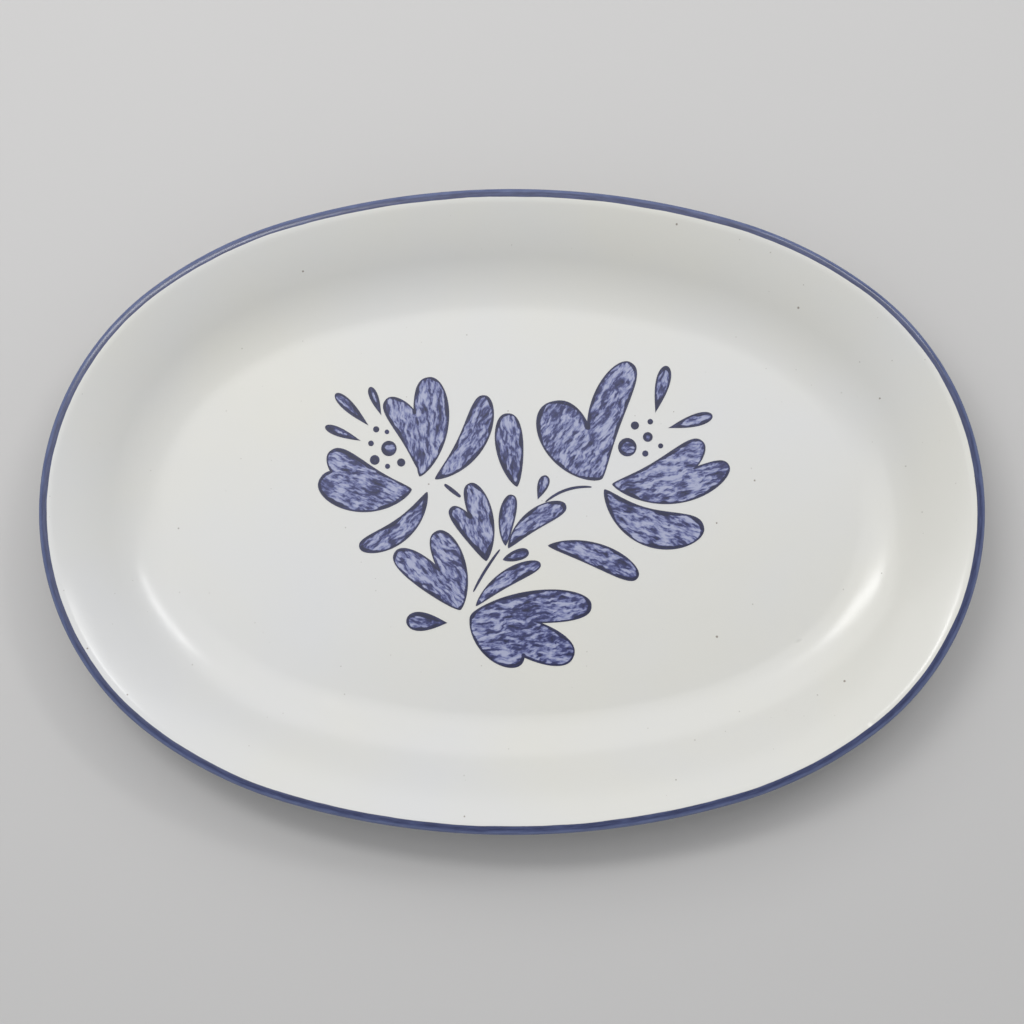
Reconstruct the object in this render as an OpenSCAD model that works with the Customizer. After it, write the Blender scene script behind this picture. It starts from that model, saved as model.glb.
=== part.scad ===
// Oval serving platter: one fired stoneware piece with its coats of glaze,
// a blue band round the lip and a painted flower spray on the floor of the well.
// Millimetres. The origin is on the table under the centre of the foot ring.
// X runs the long way, Y across, Z up.

/* [Outline] */
// Overall length
length = 362; // [310:2:436]
// Overall width
width = 248; // [206:2:298]
// Radius of the two ends as a share of the width
end_roundness = 0.43; // [0.41:0.005:0.45]

/* [Bowl] */
// Clay and glaze at the floor of the well, from face to underside
floor_thickness = 6; // [4.5:0.1:8]
// Rise from the floor of the well to where the lip begins to round over
well_depth = 20; // [14:0.5:25]
// Width of the curved rise, seen from above
sweep_width = 40.5; // [33:0.5:49]
// Width of the hollow at its foot, where the rise still steepens
hollow_width = 22; // [16:0.5:28]
// Slope at the lip as a share of the steepest slope
lip_ease = 0.66; // [0.4:0.02:1]
// Thickness where the lip begins to round over
lip_thickness = 4.4; // [3.6:0.1:6]
// Radius of the soft crown along the top of the lip
crown_radius = 7; // [5:0.5:9]
// Thickness of the wall where it leaves the floor
wall_thickness = 6.6; // [5.4:0.1:8]

/* [Foot ring] */
// Height of the underside above the table, inside the foot ring
foot_height = 4; // [3.2:0.1:6]
// Width of the foot ring
foot_width = 7; // [5:0.5:10]
// How far the foot ring stands out past the floor of the well
foot_reach = 3; // [2:0.5:6]
// Radius of the two edges of the tread
tread_radius = 0.9; // [0.5:0.1:1]
// Radius where the foot ring meets the underside
foot_fillet = 1.6; // [1:0.1:2]
// Height of the bare clay above the table, wiped clean of glaze
bare_height = 1.2; // [1:0.1:1.4]

/* [Glaze and band] */
// Thickness of the glaze and of the blue band
glaze_thickness = 0.4; // [0.3:0.05:0.6]
// Width of the band on the face, in from the edge
band_width = 3.5; // [2.4:0.1:4.4]
// How far the band runs in past the rounding of the lip, on the back
band_reach_back = 1.2; // [0.5:0.1:4]

/* [Flower spray] */
// Clear floor left round the spray
spray_margin = 18; // [8:0.5:24]
// Distance of the spray from the centre, the long way
spray_shift = 4; // [-10:1:10]
// Thickness of the colours on the glaze
colour_thickness = 0.12; // [0.08:0.01:0.3]
// Width of the dark outline
outline_width = 0.55; // [0.4:0.05:0.8]

/* [Hidden] */
$fn = 96;
GLAZE_WHITE = [0.85, 0.85, 0.83];
CLAY_BUFF = [0.76, 0.68, 0.57];
BAND_BLUE = [0.31, 0.37, 0.56];
INK_BLUE = [0.17, 0.18, 0.40];
WASH_BLUE = [0.48, 0.51, 0.72];

// ---- Outline: an oval of eight arcs, met tangent at two directions whose sine
// ---- and cosine are short decimals, so that every centre and radius is one too.
end_turn = [0.6, 0.8];
side_turn = [0.28, 0.96];
half_l = length / 2;
half_w = width / 2;
end_r = round(width * end_roundness);
shoulder_r = 8.75 * (half_w - end_turn[1] * end_r) - 1.25 * (half_l - 0.4 * end_r);
side_r = 5 * (half_l - 0.4 * end_r) - 10 * (half_w - end_turn[1] * end_r);
end_c = [half_l - end_r, 0];
shoulder_c = end_c + (end_r - shoulder_r) * end_turn;
side_c = [0, half_w - side_r];

function flip(v, x, y) = [v[0] * x, v[1] * y];
// Each arc is [centre, radius, first direction, last direction], anticlockwise.
arcs = [
    for (x = [1, -1]) [flip(end_c, x, 1), end_r, x * flip(end_turn, 1, -1), x * end_turn],
    for (y = [1, -1]) [flip(side_c, 1, y), side_r, y * side_turn, flip(side_turn, -y, y)],
    for (x = [1, -1], y = [1, -1]) [
        flip(shoulder_c, x, y), shoulder_r,
        flip(x * y > 0 ? end_turn : side_turn, x, y),
        flip(x * y > 0 ? side_turn : end_turn, x, y)
    ]
];

// ---- Section: u is the distance in from the outermost edge, z the height.
// A skin is a list of [point, outward direction] along the glazed surface.
crown_end = -10;
floor_z = foot_height + floor_thickness;
sweep_steps = 26;
arc_step = 12;

// Across the sweep t runs from 0 at the floor to 1 at the lip. The gradient grows
// evenly over the hollow and then eases off evenly, so the height follows two parabolas.
hollow = hollow_width / sweep_width;
steepest = 2 * well_depth / (hollow_width + (1 + lip_ease) * (sweep_width - hollow_width));
function gradient(t) =
    steepest * (t < hollow ? t / hollow : 1 - (1 - lip_ease) * (t - hollow) / (1 - hollow));
function rise(t) = sweep_width / 2 * (
    t < hollow ? t * gradient(t) : hollow * steepest + (t - hollow) * (steepest + gradient(t))
);
function slope(t) = atan(gradient(t));
function towards(angle) = [sin(angle), cos(angle)];

// The lip is two arcs: the crown, down to a direction just past upright, and the edge,
// whose radius is what makes it meet the back.
crown_drop = crown_radius * (1 - cos(slope(1) - crown_end));
edge_r = (lip_thickness - crown_drop) / (1 + cos(slope(1) - crown_end));
crown_start = edge_r * (1 + sin(crown_end));
lip_start = crown_start + crown_radius * (sin(slope(1)) - sin(crown_end));
floor_edge = lip_start + sweep_width;
function sweep_point(t) = [floor_edge - sweep_width * t, floor_z + rise(t)];
function wall(t) = wall_thickness + (lip_thickness - wall_thickness) * t;
function face(t) = [sweep_point(t), towards(slope(t))];
function back(t) = [sweep_point(t) - wall(t) * towards(slope(t)), -towards(slope(t))];
crown_c = sweep_point(1) - crown_radius * towards(slope(1));
edge_c = crown_c + (crown_radius - edge_r) * towards(crown_end);
band_turn = asin((band_width - crown_start) / crown_radius + sin(crown_end));
function back_reach(t) = back(t)[0][0] - back(1)[0][0];

foot_inset = floor_edge - foot_reach;
foot_end = foot_inset + foot_width;

// Where along the sweep the band ends on the back, and where the foot ring begins.
// Each closes in on its distance in a few rounds.
function band_back_at(t, rounds) =
    rounds == 0 ? t : band_back_at(t + (back_reach(t) - band_reach_back) / sweep_width, rounds - 1);
band_back_t = band_back_at(1, 12);
function foot_start(t) = back(t)[0][0] + foot_fillet * (1 - sin(slope(t)));
function foot_at(t, rounds) =
    rounds == 0 ? t : foot_at(t + (foot_start(t) - foot_inset) / sweep_width, rounds - 1);
foot_t = foot_at(0.2, 20);
core_edge = foot_end + foot_fillet + 8;
core_overlap = 4;

function run(from, to, steps) = [for (i = [0 : steps]) from + (to - from) * i / steps];
function arc_round(c, r, from, to, out) =
    let (steps = ceil(abs(to - from) / arc_step))
    [for (a = run(from, to, steps)) [c + r * towards(a), out * towards(a)]];

face_skin = concat(
    [[[core_edge, floor_z], [0, 1]]],
    [for (t = run(0, 1, sweep_steps)) face(t)],
    arc_round(crown_c, crown_radius, slope(1) - arc_step / 2, band_turn, 1)
);
band_skin = concat(
    arc_round(crown_c, crown_radius, band_turn, crown_end, 1),
    arc_round(edge_c, edge_r, crown_end - arc_step, slope(1) - 180, 1),
    [back(1), back(band_back_t)]
);
fillet_c = back(foot_t)[0] - foot_fillet * towards(slope(foot_t));
back_skin = concat(
    [for (t = run(band_back_t, foot_t, sweep_steps)) back(t)],
    arc_round(fillet_c, foot_fillet, slope(foot_t) + arc_step, 90, -1),
    [[[foot_inset, bare_height], [-1, 0]]]
);
tread_skin = concat(
    [[[foot_inset, bare_height], [-1, 0]]],
    arc_round([foot_inset + tread_radius, tread_radius], tread_radius, 270, 180, 1),
    arc_round([foot_end - tread_radius, tread_radius], tread_radius, 180, 90, 1),
    [[[foot_end, bare_height], [1, 0]]]
);
base_skin = concat(
    [[[foot_end, bare_height], [1, 0]]],
    arc_round([foot_end + foot_fillet, foot_height - foot_fillet], foot_fillet, -90, 0, -1),
    [[[core_edge, foot_height], [0, -1]]]
);

function snap(v) = [for (x = v) round(x * 1000) / 1000];
function outside(skin) = [for (s = skin) snap(s[0])];
function inside(skin) = [for (s = skin) snap(s[0] - glaze_thickness * s[1])];
function backwards(list) = [for (i = [len(list) - 1 : -1 : 0]) list[i]];
function coat(skin) = concat(outside(skin), backwards(inside(skin)));
function without_repeats(list) = [for (i = [0 : len(list) - 1]) if (i == 0 || list[i] != list[i - 1]) list[i]];
clay_section = without_repeats(concat(
    inside(face_skin), inside(band_skin), inside(back_skin), outside(tread_skin), inside(base_skin)
));

// ---- Sweeping a section round the oval
top_z = crown_c[1] + crown_radius;

// The triangle that an arc of the oval fills, with the arc's centre at the origin.
module arc_sector(r, from, to) {
    reach = 5 * ceil(0.34 * r);
    translate([0, 0, -1])
        linear_extrude(top_z + 2)
            polygon([[0, 0], reach * from, reach * to]);
}

module round_the_oval(section) {
    for (a = arcs)
        translate(a[0])
            intersection() {
                rotate_extrude()
                    polygon([for (p = section) [a[1] - p[0], p[1]]]);
                arc_sector(a[1], a[2], a[3]);
            }
}

// The outline of the oval, at a distance in from the edge.
function oval_points(inset) = without_repeats([
    for (i = [0, 4, 2, 6, 1, 7, 3, 5])
        let (a = arcs[i], from = atan2(a[2][1], a[2][0]), to = atan2(a[3][1], a[3][0]))
        for (angle = run(from, to < from ? to + 360 : to, 8))
            snap(a[0] + (a[1] - inset) * [cos(angle), sin(angle)])
]);

module core(low, high) {
    translate([0, 0, low])
        linear_extrude(high - low)
            polygon(oval_points(core_edge - core_overlap));
}

// ---- The flower spray
// A stroke is [root, bow, tip, width, root taper, tip taper]: a curve from root to
// tip that swells between them. A taper of 0.5 ends round and one of 1 ends in a point.
spray_height = 119;
spray_scale = (width - 2 * floor_edge - 2 * spray_margin) / spray_height;
stroke_steps = 24;
outline_share = 0.18;

function stroke(root, angle, length, width, bow, tapers) =
    let (tip = length * [cos(angle), sin(angle)], side = [-sin(angle), cos(angle)])
    [root, root + tip / 2 + 2 * bow * side, root + tip, width, tapers[0], tapers[1]];
function petal(root, angle, length, width, bow = 0) = stroke(root, angle, length, width, bow, [0.72, 0.42]);
function drop(root, angle, length, width, bow = 0) = stroke(root, angle, length, width, bow, [1.1, 0.5]);
function stem(root, angle, length, width, bow = 0) = stroke(root, angle, length, width, bow, [0.3, 0.3]);

function swell(s, t) =
    let (peak = s[4] / (s[4] + s[5]))
    pow(t / peak, s[4]) * pow((1 - t) / (1 - peak), s[5]);
function middle(s, t) = (1 - t) * (1 - t) * s[0] + 2 * t * (1 - t) * s[1] + t * t * s[2];
function ahead(s, t) = (1 - t) * (s[1] - s[0]) + t * (s[2] - s[1]);
function beside(s, t) = let (v = ahead(s, t)) [-v[1], v[0]] / norm(v);

// The wash keeps clear of a stroke's edge by the outline, and of a pointed end by more.
function outline_of(across) = min(outline_width, outline_share * across * spray_scale);
function drawn_in(taper) = 0.4 + 2.2 * taper * taper;
function shape(s, inset) =
    let (
        half = s[3] * spray_scale / 2 - inset,
        long = norm(s[2] - s[0]) * spray_scale,
        first = inset * drawn_in(s[4]) / long,
        last = 1 - inset * drawn_in(s[5]) / long,
        steps = [for (i = [0 : stroke_steps]) (1 - cos(180 * i / stroke_steps)) / 2],
        edge = function (i, side)
            let (t = first + (last - first) * steps[i])
            middle(s, t) * spray_scale + side * half * swell(s, steps[i]) * beside(s, t)
    )
    concat(
        [for (i = [0 : stroke_steps]) snap(edge(i, -1))],
        [for (i = [stroke_steps - 1 : -1 : 1]) snap(edge(i, 1))]
    );

// A motif is [strokes and dots with a wash, dark strokes and dots]. A dot is [x, y, radius].
left_flower = [
    [
        petal([-34, 13], 60, 38, 11, -5),
        petal([-40, 14], 86, 39, 14, -3), petal([-40, 16], 116, 31, 11, -4),
        petal([-43, 9], 154, 35, 13, 5), petal([-43, 9], 173, 36, 15, 4),
        petal([-37, 8], 219, 34, 9, 5),
        drop([-60, 34], 136, 18, 4.4), drop([-55, 38], 112, 12, 3.4), drop([-63, 28], 158, 15, 3.6),
        [-52, 25, 3], [-57.5, 20.5, 1.9], [-47.2, 19.5, 1.6]
    ],
    [[-59, 27, 1.1], [-57, 32.5, 1.2], [-52.5, 18, 1], [-52.8, 31.5, 0.9]]
];
right_flower = [
    [
        petal([31, 13], 122, 36, 20, 3), petal([31, 13], 75, 47, 14, 5),
        petal([35, 11], 26, 39, 12, -5), petal([35, 11], 10, 46, 12, -6),
        petal([32, 9], -20, 41, 15, -8),
        drop([52, 39], 76, 19, 5.6), drop([57, 33], 16, 18, 5),
        [41, 25.5, 3.6], [49, 29.5, 1.9], [44, 34, 1.6]
    ],
    [[48, 23, 1.2], [54, 26, 1], [50, 35.5, 1.1]]
];
bud = [
    [petal([-2, 10], 97, 29, 11, 1)],
    []
];
sprig = [
    [
        petal([-14, -19], 103, 31, 9.5, -2), petal([-14, -19], 124, 25, 7.5, -1.5),
        petal([-6.5, -13], 82, 20, 6.5, 1), petal([-5.5, -14], 36, 28, 8, 3),
        drop([6, 5], 70, 10, 4.4), petal([-7.5, -18.5], 18, 10.5, 4.4)
    ],
    [stem([-19, -31], 58, 19.5, 1.1, 0.5), stem([-24, 6], 142, 8, 1.6), stem([9, 4], 18, 19, 1.1, 2)]
];
leaves = [
    [
        petal([-24, -38], 108, 32, 11.5, -2), petal([-24, -38], 139, 34, 11, -1.5),
        drop([-29, -43], 177, 16, 7.4),
        petal([-18, -36.5], 33, 30, 6.5, 2.5),
        petal([-20, -40], 4, 47, 13, 1.5), petal([-20, -40], -22, 43, 15, 0),
        petal([-20, -40], -40, 27, 12, -2.5),
        petal([10, -13], -20, 37, 9.5, 3)
    ],
    []
];

function is_dot(mark) = len(mark) == 3;

module marks(list, inset = false) {
    for (m = list)
        if (is_dot(m))
            translate([m[0], m[1]] * spray_scale)
                circle(m[2] * spray_scale - (inset ? outline_of(2 * m[2]) : 0));
        else
            polygon(shape(m, inset ? outline_of(m[3]) : 0));
}

module washed(motif) {
    difference() {
        marks(motif[0], inset = true);
        marks(motif[1]);
    }
}

module print(ink) {
    color(ink)
        translate([spray_shift, 0, floor_z])
            linear_extrude(colour_thickness)
                children();
}

module wash(motif) {
    print(WASH_BLUE)
        washed(motif);
}

module outline(motif) {
    print(INK_BLUE)
        difference() {
            union() {
                marks(motif[0]);
                marks(motif[1]);
            }
            washed(motif);
        }
}

// ---- The fired piece and its coats
module stoneware_body() {
    color(CLAY_BUFF) {
        round_the_oval(clay_section);
        core(foot_height + glaze_thickness, floor_z - glaze_thickness);
    }
}

module face_glaze() {
    color(GLAZE_WHITE) {
        round_the_oval(coat(face_skin));
        core(floor_z - glaze_thickness, floor_z);
    }
}

module back_glaze() {
    color(GLAZE_WHITE)
        round_the_oval(coat(back_skin));
}

module base_glaze() {
    color(GLAZE_WHITE) {
        round_the_oval(coat(base_skin));
        core(foot_height, foot_height + glaze_thickness);
    }
}

module rim_band() {
    color(BAND_BLUE)
        round_the_oval(coat(band_skin));
}

module left_flower_wash() { wash(left_flower); }
module left_flower_outline() { outline(left_flower); }
module right_flower_wash() { wash(right_flower); }
module right_flower_outline() { outline(right_flower); }
module bud_wash() { wash(bud); }
module bud_outline() { outline(bud); }
module sprig_wash() { wash(sprig); }
module sprig_outline() { outline(sprig); }
module leaves_wash() { wash(leaves); }
module leaves_outline() { outline(leaves); }

stoneware_body();
face_glaze();
back_glaze();
base_glaze();
rim_band();
left_flower_wash();
left_flower_outline();
right_flower_wash();
right_flower_outline();
bud_wash();
bud_outline();
sprig_wash();
sprig_outline();
leaves_wash();
leaves_outline();
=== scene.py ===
"""An oval stoneware serving platter: glazed white, banded with blue round the lip and
printed with a flower spray on the floor of the well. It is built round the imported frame."""
import math

import bmesh
import bpy
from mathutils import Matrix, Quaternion, Vector, geometry, kdtree


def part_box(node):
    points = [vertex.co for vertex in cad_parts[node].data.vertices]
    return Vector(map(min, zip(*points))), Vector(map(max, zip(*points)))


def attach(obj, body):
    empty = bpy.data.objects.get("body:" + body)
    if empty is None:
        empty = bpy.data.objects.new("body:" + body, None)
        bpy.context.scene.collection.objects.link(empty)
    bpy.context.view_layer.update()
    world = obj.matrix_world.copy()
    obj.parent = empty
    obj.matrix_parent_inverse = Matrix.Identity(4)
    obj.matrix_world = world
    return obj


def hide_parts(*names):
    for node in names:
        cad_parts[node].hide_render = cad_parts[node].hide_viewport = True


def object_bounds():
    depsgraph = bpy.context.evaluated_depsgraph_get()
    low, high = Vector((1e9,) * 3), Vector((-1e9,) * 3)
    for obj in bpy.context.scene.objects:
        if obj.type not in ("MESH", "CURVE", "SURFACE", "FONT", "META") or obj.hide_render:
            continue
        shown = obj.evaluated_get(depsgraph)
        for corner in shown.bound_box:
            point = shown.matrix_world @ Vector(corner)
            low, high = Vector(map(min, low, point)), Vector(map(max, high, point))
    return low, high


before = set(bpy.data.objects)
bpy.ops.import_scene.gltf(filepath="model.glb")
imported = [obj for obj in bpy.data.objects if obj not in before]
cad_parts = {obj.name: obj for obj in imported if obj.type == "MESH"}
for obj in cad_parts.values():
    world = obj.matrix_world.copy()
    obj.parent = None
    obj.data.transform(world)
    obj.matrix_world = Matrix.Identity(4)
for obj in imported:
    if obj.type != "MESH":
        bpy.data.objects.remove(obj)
cad_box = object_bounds()

MM = 0.001
UP = Vector((0, 0, 1))


# ---------------------------------------------------------------- sizes, in millimetres
def corner(node, which):
    """The lowest (0) or highest (1) corner of a CAD node."""
    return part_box(node)[which] / MM


LENGTH = round(2 * corner("rim_band", 1).x)
WIDTH = round(2 * corner("rim_band", 1).y)
FLOOR = corner("bud_wash", 0).z
PRINT_TOP = corner("bud_wash", 1).z
GLAZE = FLOOR - corner("face_glaze", 0).z
UNDERSIDE = corner("base_glaze", 1).z - GLAZE
BARE = corner("base_glaze", 0).z
FOOT_END = LENGTH / 2 - corner("base_glaze", 1).x

WELL_DEPTH = 20
SWEEP_WIDTH = 40.5
HOLLOW_WIDTH = 22
LIP_EASE = 0.66
LIP_THICKNESS = 4.4
CROWN_R = 7
CROWN_END = math.radians(-10)
WALL_THICKNESS = 6.6
FOOT_REACH = 3
TREAD_RADIUS = 0.9
FOOT_FILLET = 1.6
BAND_WIDTH = 3.5
BAND_REACH_BACK = 1.2
CORE_MARGIN = 8  # how far past the foot the spun skins reach before the flat middle
CORE_RUN = 5  # the last of that, which keeps the flat middle's shading flat
CORE_EDGE = FOOT_END + FOOT_FILLET + CORE_MARGIN

# ---------------------------------------------------------------- the outline
# Eight arcs, met tangent at two directions: one where the ends turn into the shoulders
# and one where the shoulders turn into the long sides.
END_TURN = Vector((0.6, 0.8, 0))
SIDE_TURN = Vector((0.28, 0.96, 0))
END_ROUNDNESS = 0.43
END_R = round(WIDTH * END_ROUNDNESS)
ALONG = LENGTH / 2 - 0.4 * END_R
ACROSS = WIDTH / 2 - END_TURN.y * END_R
SHOULDER_R = 8.75 * ACROSS - 1.25 * ALONG
SIDE_R = 5 * ALONG - 10 * ACROSS
END_CENTRE = Vector((LENGTH / 2 - END_R, 0, 0))
SHOULDER_CENTRE = END_CENTRE + (END_R - SHOULDER_R) * END_TURN
SIDE_CENTRE = Vector((0, WIDTH / 2 - SIDE_R, 0))
END_ANGLE = math.atan2(END_TURN.y, END_TURN.x)
SIDE_ANGLE = math.atan2(SIDE_TURN.y, SIDE_TURN.x)


def quarter(point, x, y):
    return Vector((point.x * x, point.y * y, 0))


# Each arc is (centre, radius, angle turned through), anticlockwise from the right end.
ARCS = [
    (END_CENTRE, END_R, 2 * END_ANGLE),
    (SHOULDER_CENTRE, SHOULDER_R, SIDE_ANGLE - END_ANGLE),
    (SIDE_CENTRE, SIDE_R, math.pi - 2 * SIDE_ANGLE),
    (quarter(SHOULDER_CENTRE, -1, 1), SHOULDER_R, SIDE_ANGLE - END_ANGLE),
    (-END_CENTRE, END_R, 2 * END_ANGLE),
    (-SHOULDER_CENTRE, SHOULDER_R, SIDE_ANGLE - END_ANGLE),
    (-SIDE_CENTRE, SIDE_R, math.pi - 2 * SIDE_ANGLE),
    (quarter(SHOULDER_CENTRE, 1, -1), SHOULDER_R, SIDE_ANGLE - END_ANGLE),
]
SECTION_SPACING = 3.0  # of the cross-sections round the lip
LEAST_SECTIONS = 3  # in each arc
WELD = 0.001  # points closer than this are one
CORNER = math.radians(40)  # edges bent more than this stay crisp


# ---------------------------------------------------------------- the section
# A point of the section is (distance in from the lip, height). A skin is a list of
# (point, outward direction) along the glazed surface.
def towards(angle):
    return Vector((math.sin(angle), math.cos(angle)))


# Across the sweep t runs from 0 at the floor to 1 at the lip. The gradient grows evenly
# over the hollow and then eases off evenly.
HOLLOW = HOLLOW_WIDTH / SWEEP_WIDTH
STEEPEST = 2 * WELL_DEPTH / (HOLLOW_WIDTH + (1 + LIP_EASE) * (SWEEP_WIDTH - HOLLOW_WIDTH))


def gradient(t):
    eased = 1 - (1 - LIP_EASE) * (t - HOLLOW) / (1 - HOLLOW)
    return STEEPEST * (t / HOLLOW if t < HOLLOW else eased)


def rise(t):
    """Height above the floor: the area under the gradient."""
    past = HOLLOW * STEEPEST + (t - HOLLOW) * (STEEPEST + gradient(t))
    return SWEEP_WIDTH / 2 * (t * gradient(t) if t < HOLLOW else past)


def slope(t):
    return math.atan(gradient(t))


CROWN_FALL = 1 - math.cos(slope(1) - CROWN_END)
EDGE_R = (LIP_THICKNESS - CROWN_R * CROWN_FALL) / (2 - CROWN_FALL)
CROWN_START = EDGE_R * (1 + math.sin(CROWN_END))
LIP_START = CROWN_START + CROWN_R * (math.sin(slope(1)) - math.sin(CROWN_END))
FLOOR_EDGE = LIP_START + SWEEP_WIDTH


def sweep_point(t):
    return Vector((FLOOR_EDGE - SWEEP_WIDTH * t, FLOOR + rise(t)))


def face(t):
    return sweep_point(t), towards(slope(t))


def back(t):
    wall = WALL_THICKNESS + (LIP_THICKNESS - WALL_THICKNESS) * t
    return sweep_point(t) - wall * towards(slope(t)), -towards(slope(t))


def run(start, stop, steps):
    return [start + (stop - start) * i / steps for i in range(steps + 1)]


def arc(centre, radius, start, stop, out=1, steps=10):
    return [(centre + radius * towards(a), out * towards(a)) for a in run(start, stop, steps)]


def settle(start, error):
    """The place along the sweep where error(t), in millimetres across it, comes to nothing."""
    t = start
    for _ in range(30):
        t += error(t) / SWEEP_WIDTH
    return t


CROWN_CENTRE = sweep_point(1) - CROWN_R * towards(slope(1))
EDGE_CENTRE = CROWN_CENTRE + (CROWN_R - EDGE_R) * towards(CROWN_END)
BAND_TURN = math.asin((BAND_WIDTH - CROWN_START) / CROWN_R + math.sin(CROWN_END))
FOOT_INSET = FLOOR_EDGE - FOOT_REACH
BAND_BACK_T = settle(1, lambda t: back(t)[0].x - back(1)[0].x - BAND_REACH_BACK)
FOOT_T = settle(0.2, lambda t: back(t)[0].x + FOOT_FILLET * (1 - math.sin(slope(t))) - FOOT_INSET)
FILLET_CENTRE = back(FOOT_T)[0] - FOOT_FILLET * towards(slope(FOOT_T))


def flat(inset, height, out):
    return Vector((inset, height)), Vector(out)


FACE_SKIN = [flat(CORE_EDGE, FLOOR, (0, 1)), flat(CORE_EDGE - CORE_RUN, FLOOR, (0, 1))]
FACE_SKIN += [face(t) for t in run(0, 1, 44)]
FACE_SKIN += arc(CROWN_CENTRE, CROWN_R, slope(1), BAND_TURN, steps=6)[1:]
BAND_SKIN = arc(CROWN_CENTRE, CROWN_R, BAND_TURN, CROWN_END, steps=6)
BAND_SKIN += arc(EDGE_CENTRE, EDGE_R, CROWN_END, slope(1) - math.pi, steps=24)[1:]
BAND_SKIN += [back(t) for t in run(1, BAND_BACK_T, 2)]
BACK_SKIN = [back(t) for t in run(BAND_BACK_T, FOOT_T, 44)]
BACK_SKIN += arc(FILLET_CENTRE, FOOT_FILLET, slope(FOOT_T), math.pi / 2, out=-1)[1:]
BACK_SKIN += [flat(FOOT_INSET, BARE, (-1, 0))]
OUTER_TREAD_CENTRE = Vector((FOOT_INSET + TREAD_RADIUS, TREAD_RADIUS))
INNER_TREAD_CENTRE = Vector((FOOT_END - TREAD_RADIUS, TREAD_RADIUS))
TREAD_SKIN = [flat(FOOT_INSET, BARE, (-1, 0))]
TREAD_SKIN += arc(OUTER_TREAD_CENTRE, TREAD_RADIUS, -math.pi / 2, -math.pi)
TREAD_SKIN += arc(INNER_TREAD_CENTRE, TREAD_RADIUS, math.pi, math.pi / 2)
TREAD_SKIN += [flat(FOOT_END, BARE, (1, 0))]
BASE_FILLET_CENTRE = Vector((FOOT_END + FOOT_FILLET, UNDERSIDE - FOOT_FILLET))
BASE_SKIN = [flat(FOOT_END, BARE, (1, 0))]
BASE_SKIN += arc(BASE_FILLET_CENTRE, FOOT_FILLET, -math.pi / 2, 0, out=-1)
BASE_SKIN += [flat(CORE_EDGE - CORE_RUN, UNDERSIDE, (0, -1)), flat(CORE_EDGE, UNDERSIDE, (0, -1))]


def outside(skin):
    return [point for point, out in skin]


def inside(skin):
    return [point - GLAZE * out for point, out in skin]


# ---------------------------------------------------------------- making pieces
def finish_piece(name, bm, material, slot, *nodes):
    """Makes the mesh an object that rides on the platter and stands for its CAD nodes."""
    mesh = bpy.data.meshes.new(name)
    bm.to_mesh(mesh)
    bm.free()
    mesh.materials.append(material)
    piece = bpy.data.objects.new(name, mesh)
    bpy.context.scene.collection.objects.link(piece)
    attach(piece, "root")
    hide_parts(*nodes)
    return piece


def smooth_but_for_corners(bm):
    for f in bm.faces:
        f.smooth = True
    for e in bm.edges:
        e.smooth = e.calc_face_angle(0) < CORNER


def sweep_round_oval(section, closed):
    """Spins a section about the centre of each of the eight arcs in turn."""
    bm = bmesh.new()
    inset = bm.verts.layers.float.new("inset")
    first = quarter(END_TURN, 1, -1)
    verts = []
    for point in section:
        verts.append(bm.verts.new((END_CENTRE + (END_R - point.x) * first + point.y * UP) * MM))
        verts[-1][inset] = point.x
    followers = verts[1:] + verts[:1] if closed else verts[1:]
    ring = verts + [bm.edges.new(pair) for pair in zip(verts, followers)]
    for centre, radius, angle in ARCS:
        sections = max(LEAST_SECTIONS, round(radius * angle / SECTION_SPACING))
        spun = bmesh.ops.spin(
            bm, geom=ring, cent=centre * MM, axis=UP, angle=angle, steps=sections,
            use_merge=False, use_duplicate=False,
        )
        ring = spun["geom_last"]
    bmesh.ops.remove_doubles(bm, verts=bm.verts, dist=WELD * MM)
    bmesh.ops.holes_fill(bm, edges=[e for e in bm.edges if e.is_boundary], sides=0)
    bmesh.ops.recalc_face_normals(bm, faces=bm.faces)
    smooth_but_for_corners(bm)
    return bm


def coat(name, skin, closed, material, slot):
    """A coat of glaze over a skin. An open one is closed flat across the middle."""
    section = outside(skin) + inside(skin)[::-1]
    return finish_piece(name + "_coat", sweep_round_oval(section, closed), material, slot, name)


# ---------------------------------------------------------------- the prints
CURVE_SPACING = 0.45  # of the points along an outline
WASH_SPACING = 0.9  # of the points inside a wash
EDGE_GAP = 0.6  # of that spacing, kept clear inside an outline
PRINT_CORNER = math.radians(38)  # an outline that turns more than this has a corner there
UPWARD = 0.9  # a face whose normal rises more than this is on top
SAME_POINT = 0.0005  # points of a CAD node closer than this are one
ROUND_LEAN = 0.001  # how much a shape's direction leans to +X, which settles a round one's


def upper_loops(node):
    """The outlines of a CAD node's upper face, each a list of points in order."""
    bm = bmesh.new()
    bm.from_mesh(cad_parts[node].data)
    bmesh.ops.remove_doubles(bm, verts=bm.verts, dist=SAME_POINT * MM)
    bm.faces.index_update()
    bm.edges.index_update()
    upper = {f.index for f in bm.faces if f.normal.z > UPWARD}
    edges = {e.index: e for e in bm.edges if sum(f.index in upper for f in e.link_faces) == 1}
    loops = []
    while edges:
        edge = edges.pop(min(edges))
        start, here = edge.verts
        points = [start.co.xy / MM]
        while here is not start:
            points.append(here.co.xy / MM)
            edge = next(e for e in here.link_edges if e.index in edges)
            del edges[edge.index]
            here = edge.other_vert(here)
        loops.append(points)
    bm.free()
    return loops


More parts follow.
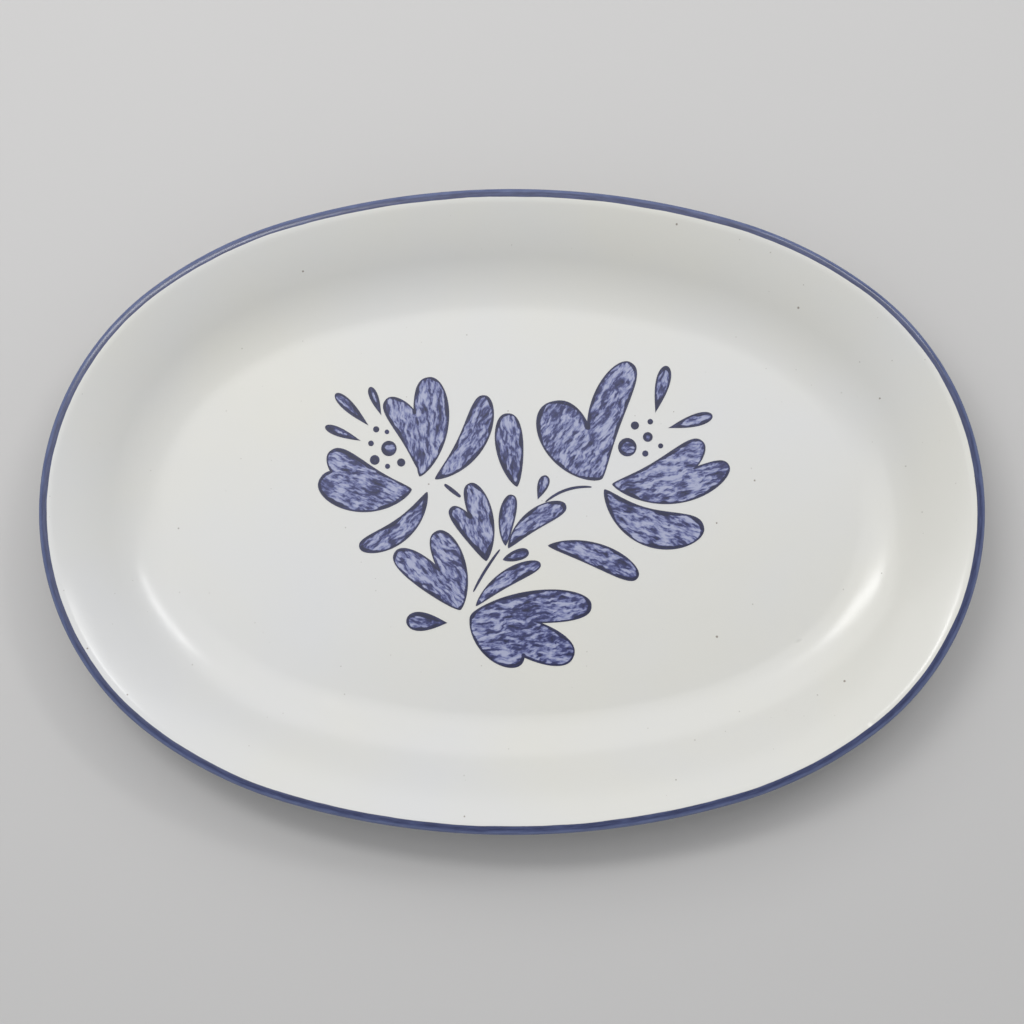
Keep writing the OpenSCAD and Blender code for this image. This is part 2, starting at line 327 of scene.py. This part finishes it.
def rounded(points):
    """A smooth curve through a loop's points, which keeps its sharp corners."""
    count = len(points)
    curve = []
    tangents = []
    for i, here in enumerate(points):
        before, after = here - points[i - 1], points[(i + 1) % count] - here
        sharp = before.angle(after, 0) > PRINT_CORNER
        middle = (before.normalized() + after.normalized()).normalized()
        tangents.append((before.normalized(), after.normalized()) if sharp else (middle, middle))
    for i, here in enumerate(points):
        there = points[(i + 1) % count]
        reach = (there - here).length
        pieces = max(1, math.ceil(reach / CURVE_SPACING))
        for k in range(pieces):
            t = k / pieces
            leaving, arriving = tangents[i][1] * reach, tangents[(i + 1) % count][0] * reach
            curve.append(
                (2 * t**3 - 3 * t**2 + 1) * here + (t**3 - 2 * t**2 + t) * leaving
                + (3 * t**2 - 2 * t**3) * there + (t**3 - t**2) * arriving
            )
    return curve


def crossed(point, loop):
    """Whether a point lies inside a loop."""
    within = False
    for a, b in zip(loop, loop[1:] + loop[:1]):
        if (a.y > point.y) != (b.y > point.y):
            if point.x < a.x + (point.y - a.y) / (b.y - a.y) * (b.x - a.x):
                within = not within
    return within


def islands(loops):
    """Groups each outer loop with the holes in it."""
    outer, inner = [], []
    for loop in loops:
        around_it = sum(crossed(loop[0], other) for other in loops if other is not loop)
        (inner if around_it % 2 else outer).append(loop)
    return [[o] + [i for i in inner if crossed(i[0], o)] for o in outer]


def grain(points):
    """The direction in which a shape is longest, or +X in a round one."""
    middle = sum(points, Vector((0, 0))) / len(points)
    xx = sum((p.x - middle.x) ** 2 for p in points)
    yy = sum((p.y - middle.y) ** 2 for p in points)
    xy = sum((p.x - middle.x) * (p.y - middle.y) for p in points)
    angle = math.atan2(2 * xy, xx - yy + ROUND_LEAN * (xx + yy)) / 2
    return Vector((math.cos(angle), math.sin(angle)))


def facing_up(loop):
    """The loop in anticlockwise order."""
    area = sum(a.x * b.y - a.y * b.x for a, b in zip(loop, loop[1:] + loop[:1]))
    return loop if area > 0 else loop[::-1]


def edge_finder(loops):
    """A function that gives a point's distance from the loops."""
    tree = kdtree.KDTree(sum(len(loop) for loop in loops))
    for i, point in enumerate(p for loop in loops for p in loop):
        tree.insert(point.to_3d(), i)
    tree.balance()
    return lambda point: tree.find(point.to_3d())[2]


def lattice(loops, distance, spacing):
    """Points spread evenly inside the loops, clear of their edges."""
    lowest = Vector((min(p.x for p in loops[0]), min(p.y for p in loops[0])))
    highest = Vector((max(p.x for p in loops[0]), max(p.y for p in loops[0])))
    points = []
    for j in range(int((highest.y - lowest.y) / spacing) + 1):
        for i in range(int((highest.x - lowest.x) / spacing) + 1):
            point = lowest + spacing * Vector((i + 0.5 * (j % 2), j))
            within = sum(crossed(point, loop) for loop in loops) % 2
            if within and distance(point) > EDGE_GAP * spacing:
                points.append(point)
    return points


def printed_piece(name, material, slot, spacing=None):
    """A thin printed colour with the CAD node's own outline, its curves made smooth."""
    bm = bmesh.new()
    edge_layer = bm.verts.layers.float.new("edge")
    grain_layer = bm.verts.layers.float_vector.new("grain")
    for loops in islands([facing_up(rounded(l)) for l in upper_loops(name)]):
        flow = grain(loops[0])
        distance = edge_finder(loops)
        points, borders = [], []
        for loop in loops:
            borders.append(list(range(len(points), len(points) + len(loop))))
            points += loop
        points += lattice(loops, distance, spacing) if spacing else []
        found = geometry.delaunay_2d_cdt(points, [], borders, 0, 1e-7)
        verts = []
        for p in found[0]:
            verts.append(bm.verts.new((p.x * MM, p.y * MM, FLOOR * MM)))
            verts[-1][edge_layer] = distance(p)
            verts[-1][grain_layer] = (p.dot(flow), p.cross(flow), 0)
        for corners, owners in zip(found[2], found[5]):
            if len(owners) % 2:
                bm.faces.new([verts[i] for i in corners])
    loose = [v for v in bm.verts if not v.link_faces]
    bmesh.ops.delete(bm, geom=loose, context="VERTS")
    raised = bmesh.ops.extrude_face_region(bm, geom=bm.faces[:], use_keep_orig=True)
    lifted = [g for g in raised["geom"] if isinstance(g, bmesh.types.BMVert)]
    bmesh.ops.translate(bm, verts=lifted, vec=(PRINT_TOP - FLOOR) * MM * UP)
    bmesh.ops.recalc_face_normals(bm, faces=bm.faces)
    smooth_but_for_corners(bm)
    return finish_piece(name + "_print", bm, material, slot, name)


# ---------------------------------------------------------------- shader helpers
def fill(tree, socket, value):
    """Links a socket to another one, or sets its value."""
    if isinstance(value, bpy.types.NodeSocket):
        tree.links.new(value, socket)
    else:
        socket.default_value = value


def place(tree, kind, inputs=(), **settings):
    """Adds a shader node, gives it its settings and fills its inputs."""
    made = tree.nodes.new("ShaderNode" + kind)
    for key, value in settings.items():
        setattr(made, key, value)
    for key, value in dict(inputs).items():
        fill(tree, made.inputs[key], value)
    return made


def ramp(tree, factor, *stops):
    """A colour ramp from (position, grey or colour) stops."""
    made = place(tree, "ValToRGB", {"Fac": factor})
    elements = made.color_ramp.elements
    while len(elements) < len(stops):
        elements.new(0.5)
    for element, (position, colour) in zip(elements, stops):
        element.position = position
        element.color = (*colour, 1) if isinstance(colour, tuple) else (colour,) * 3 + (1,)
    return made.outputs["Color"]


def noise(tree, vector, scale, detail=4, roughness=0.5):
    settings = {"Vector": vector, "Scale": scale, "Detail": detail, "Roughness": roughness}
    return place(tree, "TexNoise", settings).outputs["Fac"]


def spread(tree, value, low, high, to_low=0.0, to_high=1.0):
    """Stretches the range from low to high over the one from to_low to to_high."""
    ends = {"From Min": low, "From Max": high, "To Min": to_low, "To Max": to_high}
    return place(tree, "MapRange", {"Value": value, **ends}).outputs[0]


def vector_math(tree, operation, a, b):
    return place(tree, "VectorMath", {0: a, 1: b}, operation=operation).outputs[0]


def sum_of(tree, *values):
    total = values[0]
    for value in values[1:]:
        total = place(tree, "Math", {0: total, 1: value}, operation="ADD").outputs[0]
    return total


def times(tree, a, b):
    return place(tree, "Math", {0: a, 1: b}, operation="MULTIPLY").outputs[0]


# The colour sockets of a Mix node share their names with its others, so they go by number.
MIX_FACTOR, MIX_A, MIX_B, MIX_RESULT = 0, 6, 7, 2


def blend_colours(tree, factor, a, b):
    """Colour a where the factor is 0 and colour b where it is 1."""
    made = place(tree, "Mix", {MIX_FACTOR: factor}, data_type="RGBA")
    for socket, colour in ((MIX_A, a), (MIX_B, b)):
        fill(tree, made.inputs[socket], (*colour, 1) if isinstance(colour, tuple) else colour)
    return made.outputs[MIX_RESULT]


def group(name, inputs, outputs):
    """An empty node group with named inputs and outputs."""
    made = bpy.data.node_groups.new(name, "ShaderNodeTree")
    new_socket = made.interface.new_socket
    for label, (kind, value) in inputs.items():
        new_socket(label, in_out="INPUT", socket_type="NodeSocket" + kind).default_value = value
    for label, kind in outputs.items():
        new_socket(label, in_out="OUTPUT", socket_type="NodeSocket" + kind)
    given, result = made.nodes.new("NodeGroupInput"), made.nodes.new("NodeGroupOutput")
    return made, given.outputs, result.inputs


def use_group(tree, made, **inputs):
    placed = tree.nodes.new("ShaderNodeGroup")
    placed.node_tree = made
    for key, value in inputs.items():
        fill(tree, placed.inputs[key], value)
    return placed.outputs


def material(name):
    made = bpy.data.materials.new(name)
    made.use_nodes = True
    tree = made.node_tree
    return made, tree, tree.nodes["Principled BSDF"]


def position(tree):
    return tree.nodes.new("ShaderNodeTexCoord").outputs["Object"]


def attribute(tree, name, output="Fac"):
    return place(tree, "Attribute", attribute_name=name).outputs[output]


# ---------------------------------------------------------------- shared glaze effects
def fired_skin_group():
    """What every glazed surface shares: slow waves, a fine orange peel and uneven gloss."""
    tree, given, result = group(
        "fired_skin",
        {"Gloss": ("Float", 0.2)},
        {"Roughness": "Float", "Height": "Float"},
    )
    where = position(tree)
    waves = noise(tree, where, 38, detail=2)
    peel = noise(tree, where, 620, detail=2)
    height = sum_of(tree, waves, times(tree, peel, 0.04))
    patchy = noise(tree, where, 85, detail=5, roughness=0.6)
    uneven = spread(tree, patchy, 0.3, 0.7, -0.03, 0.03)
    tree.links.new(sum_of(tree, given["Gloss"], uneven), result["Roughness"])
    tree.links.new(height, result["Height"])
    return tree


def white_glaze_group():
    """The off-white glaze: warm and cool patches, and iron specks of two sizes."""
    tree, _, result = group("white_glaze_colour", {}, {"Color": "Color"})
    where = position(tree)
    drift = noise(tree, where, 9, detail=3)
    colour = ramp(tree, drift, (0.35, GLAZE_COOL), (0.65, GLAZE_WARM))
    crumbs = noise(tree, where, 1500)
    for cells, share, size, strength in SPECKS:
        specks = place(tree, "TexVoronoi", {"Vector": where, "Scale": cells}, voronoi_dimensions="2D")
        chance = place(tree, "SeparateColor", {"Color": specks.outputs["Color"]}).outputs
        ragged = times(tree, crumbs, size)
        own_size = times(tree, chance["Green"], -size)
        reach = sum_of(tree, specks.outputs["Distance"], ragged, own_size)
        near = ramp(tree, reach, (size * 0.2, strength), (size * 0.7, 0.0))
        chosen = ramp(tree, chance["Red"], (1 - share, 0.0), (1 - share + 0.01, 1.0))
        colour = blend_colours(tree, times(tree, near, chosen), colour, SPECK)
    tree.links.new(colour, result["Color"])
    return tree


GLAZE_WARM = (0.700, 0.690, 0.640)
GLAZE_COOL = (0.680, 0.680, 0.675)
SPECK = (0.16, 0.12, 0.09)
# Each size of speck: cells to the metre, the share that hold one, its size in cells, its strength.
SPECKS = ((170, 0.07, 0.055, 0.35), (62, 0.14, 0.030, 0.75))
SATIN = 0.2  # roughness of the fired surface
SKIN_DEPTH = 0.12  # of its waves
FIRED_SKIN = fired_skin_group()
WHITE_GLAZE = white_glaze_group()


def glaze(shader, tree, colour):
    """Finishes a glazed material: its colour, uneven gloss and surface."""
    skin = use_group(tree, FIRED_SKIN, Gloss=SATIN)
    depth = SKIN_DEPTH * MM
    bump = place(tree, "Bump", {"Height": skin["Height"], "Strength": 1.0, "Distance": depth})
    tree.links.new(colour, shader.inputs["Base Color"])
    tree.links.new(skin["Roughness"], shader.inputs["Roughness"])
    tree.links.new(bump.outputs["Normal"], shader.inputs["Normal"])
    shader.inputs["IOR"].default_value = 1.5


def white_glaze():
    made, tree, shader = material("white_glaze")
    glaze(shader, tree, use_group(tree, WHITE_GLAZE)["Color"])
    return made


def blue_band():
    """Brushed blue: lighter along the outermost edge, where a highlight of the lip's crown is painted
    in, and fuller inside it, with a slightly wavy edge on the face and on the back."""
    made, tree, shader = material("blue_band")
    where = position(tree)
    inset = attribute(tree, "inset")
    height = times(tree, place(tree, "SeparateXYZ", {"Vector": where}).outputs["Z"], 1 / MM)
    # The brush went along the lip, so its streaks change quickly only across the band.
    along = vector_math(tree, "MULTIPLY", where, (150, 150, 0))
    across = place(tree, "CombineXYZ", {"Z": times(tree, inset, 1.6)}).outputs[0]
    streaks = noise(tree, vector_math(tree, "ADD", along, across), 1.0, detail=6, roughness=0.65)
    wander = spread(tree, noise(tree, where, 70, detail=3), 0.3, 0.7, -0.12, 0.12)
    # Painted highlight: the band's colour is lightened along its outermost part, next to the lip's
    # crown.
    wear_and_painted_highlight = spread(tree, sum_of(tree, inset, times(tree, wander, 2)), 0.9, 1.7, 0.36, 0.0)
    depth = sum_of(tree, times(tree, streaks, 0.7), wear_and_painted_highlight)
    blue = ramp(tree, depth, (0.27, BAND_DARK), (0.46, BAND_BLUE), (0.78, BAND_LIGHT))
    on_face = spread(tree, height, EDGE_CENTRE.y - 0.2, EDGE_CENTRE.y + 0.2)
    face_edge = spread(tree, sum_of(tree, inset, wander), BAND_WIDTH - 0.2, BAND_WIDTH - 0.08)
    back_end = back(BAND_BACK_T)[0].y
    back_edge = spread(tree, sum_of(tree, height, wander), back_end + 0.25, back_end + 0.12)
    bare = sum_of(tree, times(tree, on_face, face_edge), back_edge)
    glaze(shader, tree, blend_colours(tree, bare, blue, use_group(tree, WHITE_GLAZE)["Color"]))
    return made


BAND_DARK = (0.030, 0.038, 0.098)
BAND_BLUE = (0.060, 0.076, 0.175)
BAND_LIGHT = (0.125, 0.155, 0.285)
WASH_PALE = (0.37, 0.39, 0.54)
WASH_LIGHT = (0.205, 0.225, 0.405)
WASH_BLUE = (0.110, 0.125, 0.285)
WASH_DARK = (0.036, 0.042, 0.145)
INK_BLUE = (0.012, 0.014, 0.052)
INK_SOFT = (0.026, 0.030, 0.100)
CLAY_DARK = (0.40, 0.31, 0.21)
CLAY_LIGHT = (0.62, 0.52, 0.39)
CLAY_RUBBED = (0.33, 0.28, 0.23)


def blue_wash():
    """A sponged blue with darker strokes along each petal, and ink that has pooled in
    places along its edge."""
    made, tree, shader = material("blue_wash")
    where = position(tree)
    edge = attribute(tree, "edge")
    along = attribute(tree, "grain", "Vector")
    bent = noise(tree, where, 150, detail=2)
    sway = place(tree, "CombineXYZ", {"X": bent, "Y": times(tree, bent, 2.4)}).outputs[0]

    def streaks(long, short, detail):
        """Streaks that many millimetres long and wide."""
        slim = vector_math(tree, "MULTIPLY", along, (1 / long, 1 / short, 1))
        return noise(tree, vector_math(tree, "ADD", slim, sway), 1.0, detail=detail, roughness=0.6)

    strokes = streaks(6.0, 1.9, 2)
    bristles = streaks(2.4, 0.8, 3)
    patches = noise(tree, where, 75, detail=2)
    sponge = noise(tree, where, 900, detail=3, roughness=0.6)
    pool = spread(tree, noise(tree, where, 110, detail=2), 0.42, 0.68, 0.0, 1.3)
    pooled = spread(tree, sum_of(tree, pool, times(tree, edge, -1)), -0.25, 0.15, 0.0, 0.5)
    shares = ((strokes, 1.6), (bristles, 0.8), (patches, 0.5), (sponge, 0.25))
    depth = sum_of(tree, *(times(tree, mark, share) for mark, share in shares), -1.075, pooled)
    pale = (0.26, WASH_PALE), (0.45, WASH_LIGHT)
    dark = (0.53, WASH_BLUE), (0.62, WASH_DARK), (0.90, INK_BLUE)
    glaze(shader, tree, ramp(tree, depth, *pale, *dark))
    return made


def navy_outline():
    made, tree, shader = material("navy_outline")
    patch = noise(tree, position(tree), 330, detail=4, roughness=0.6)
    glaze(shader, tree, ramp(tree, patch, (0.4, INK_BLUE), (0.7, INK_SOFT)))
    return made


def fired_clay():
    """Bare buff clay on the tread: sandy, dry and rubbed a little darker where it stands."""
    made, tree, shader = material("fired_clay")
    where = position(tree)
    sand = noise(tree, where, 900, detail=6, roughness=0.7)
    patch = noise(tree, where, 60, detail=4)
    clay = ramp(tree, sand, (0.35, CLAY_DARK), (0.65, CLAY_LIGHT))
    wear_and_painted_highlight = blend_colours(tree, ramp(tree, patch, (0.45, 0.0), (0.7, 0.45)), clay, CLAY_RUBBED)
    grit = place(tree, "TexVoronoi", {"Vector": where, "Scale": 700.0})
    rough = sum_of(tree, sand, times(tree, grit.outputs["Distance"], 0.4))
    bump = place(tree, "Bump", {"Height": rough, "Strength": 1.0, "Distance": 0.15 * MM})
    tree.links.new(wear_and_painted_highlight, shader.inputs["Base Color"])
    tree.links.new(bump.outputs["Normal"], shader.inputs["Normal"])
    shader.inputs["Roughness"].default_value = 0.88
    return made


# ---------------------------------------------------------------- the platter
CLAY = fired_clay()
WHITE = white_glaze()
BAND = blue_band()
WASH = blue_wash()
INK = navy_outline()

clay_section = inside(FACE_SKIN) + inside(BAND_SKIN)[1:] + inside(BACK_SKIN)[1:]
clay_section += outside(TREAD_SKIN) + inside(BASE_SKIN)
finish_piece("clay_body", sweep_round_oval(clay_section, False), CLAY, "fired_clay", "stoneware_body")
coat("face_glaze", FACE_SKIN, False, WHITE, "white_glaze")
coat("back_glaze", BACK_SKIN, True, WHITE, "white_glaze")
coat("base_glaze", BASE_SKIN[::-1], False, WHITE, "white_glaze")
coat("rim_band", BAND_SKIN, True, BAND, "blue_band")
for motif in ("left_flower", "right_flower", "bud", "sprig", "leaves"):
    printed_piece(motif + "_wash", WASH, "blue_wash", spacing=WASH_SPACING)
    printed_piece(motif + "_outline", INK, "navy_outline")


# ---------------------------------------------------------------- floor, lights, camera
def pale_floor(size=3.0):
    bm = bmesh.new()
    bmesh.ops.create_grid(bm, x_segments=1, y_segments=1, size=size / 2)
    mesh = bpy.data.meshes.new("floor")
    bm.to_mesh(mesh)
    bm.free()
    made, tree, shader = material("pale_floor")
    shader.inputs["Base Color"].default_value = (0.58, 0.57, 0.56, 1)
    shader.inputs["Roughness"].default_value = 0.6
    mesh.materials.append(made)
    floor = bpy.data.objects.new("floor", mesh)
    bpy.context.scene.collection.objects.link(floor)


def softbox(name, place_at, size, power, roll=0):
    """A soft rectangular light that is aimed at the platter."""
    light = bpy.data.lights.new(name, "AREA")
    light.shape = "RECTANGLE"
    light.size, light.size_y = size
    light.energy = power
    lamp = bpy.data.objects.new(name, light)
    lamp.location = place_at
    facing = (-place_at).to_track_quat("-Z", "Y")
    lamp.rotation_euler = (facing @ Quaternion(UP, math.radians(roll))).to_euler()
    bpy.context.scene.collection.objects.link(lamp)


def camera(distance=0.87, tilt=math.radians(4.5), view_width=0.391, aim_below=1.5):
    """Looks almost straight down, aimed that many millimetres below the centre."""
    lens = bpy.data.cameras.new("camera")
    lens.sensor_width = 36
    lens.lens = lens.sensor_width * distance / view_width
    eye = bpy.data.objects.new("camera", lens)
    target = Vector((0, -aim_below * MM, cad_box[1].z))
    eye.location = target + distance * Vector((0, -math.sin(tilt), math.cos(tilt)))
    eye.rotation_euler = (target - eye.location).to_track_quat("-Z", "Y").to_euler()
    bpy.context.scene.collection.objects.link(eye)
    bpy.context.scene.camera = eye


def around(azimuth, tilt, distance):
    """A place at that azimuth from +X, tilted that far from straight above, in degrees."""
    a, b = math.radians(azimuth), math.radians(tilt)
    return distance * Vector((math.sin(b) * math.cos(a), math.sin(b) * math.sin(a), math.cos(b)))


pale_floor()
softbox("overhead", around(108, 28, 1.15), (1.6, 1.2), 6.95)
softbox("right_window", around(47, 37, 1.3), (0.42, 0.13), 1.7)
softbox("left_window", around(134, 28, 1.3), (0.52, 0.16), 2.8, roll=-44)
world = bpy.data.worlds.new("studio")
world.use_nodes = True
sky = world.node_tree.nodes["Background"].inputs
sky["Color"].default_value = (0.95, 0.97, 1.0, 1)
sky["Strength"].default_value = 0.45
bpy.context.scene.world = world
bpy.context.scene.view_settings.view_transform = "Standard"
camera()
